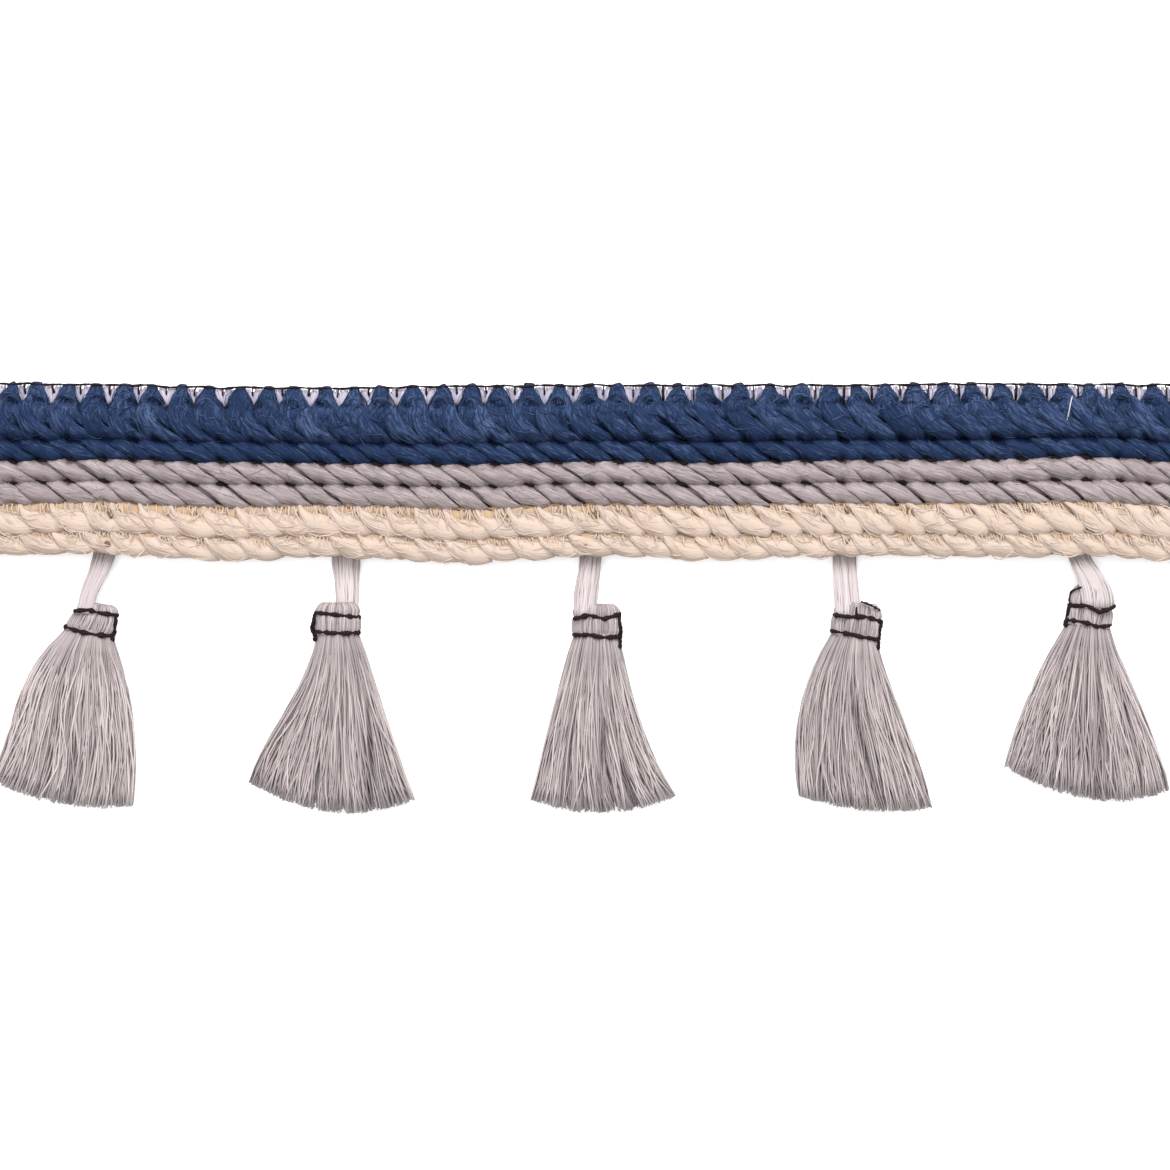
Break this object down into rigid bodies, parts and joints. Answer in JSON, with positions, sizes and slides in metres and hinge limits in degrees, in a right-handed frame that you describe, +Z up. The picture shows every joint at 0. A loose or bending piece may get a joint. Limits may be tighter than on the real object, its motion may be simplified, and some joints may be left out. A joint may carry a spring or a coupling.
{
  "type": "tassel trim",
  "caption": "Decorative edging: a flat heading of soft twisted rope rows on a tape, with bound yarn tassels hanging on loops.",
  "frame": {"origin": "middle of the footprint, on the surface that the trim lies on", "axes": "+X along the heading, +Y across it from the tassel hems to the black edge thread, +Z up, out of the trim's face"},
  "size_m": [0.1722, 0.0602, 0.0054],
  "materials": {
    "ground_yarn": "matt warp-knitted yarn",
    "black_thread": "matt sewing thread",
    "navy_roving": "soft carded roving, matt",
    "grey_cord": "smooth laid yarn, slight sheen",
    "cream_roving": "soft carded roving, matt",
    "tassel_yarn": "fine smooth yarn, slight sheen",
    "loop_yarn": "fine smooth yarn, slight sheen"
  },
  "bodies": {
    "root": {"ground_tape": "ground_yarn", "edge_thread": "black_thread", "navy_dome_row": "navy_roving", "navy_rope": "navy_roving", "grey_rope_upper": "grey_cord", "grey_rope_lower": "grey_cord", "cream_rope_upper": "cream_roving", "cream_rope_lower": "cream_roving", "tassel_1_yarns": "tassel_yarn", "tassel_1_binding": "black_thread", "tassel_1_loop": "loop_yarn", "tassel_2_yarns": "tassel_yarn", "tassel_2_binding": "black_thread", "tassel_2_loop": "loop_yarn", "tassel_3_yarns": "tassel_yarn", "tassel_3_binding": "black_thread", "tassel_3_loop": "loop_yarn", "tassel_4_yarns": "tassel_yarn", "tassel_4_binding": "black_thread", "tassel_4_loop": "loop_yarn", "tassel_5_yarns": "tassel_yarn", "tassel_5_binding": "black_thread", "tassel_5_loop": "loop_yarn"}
  },
  "joints": []
}
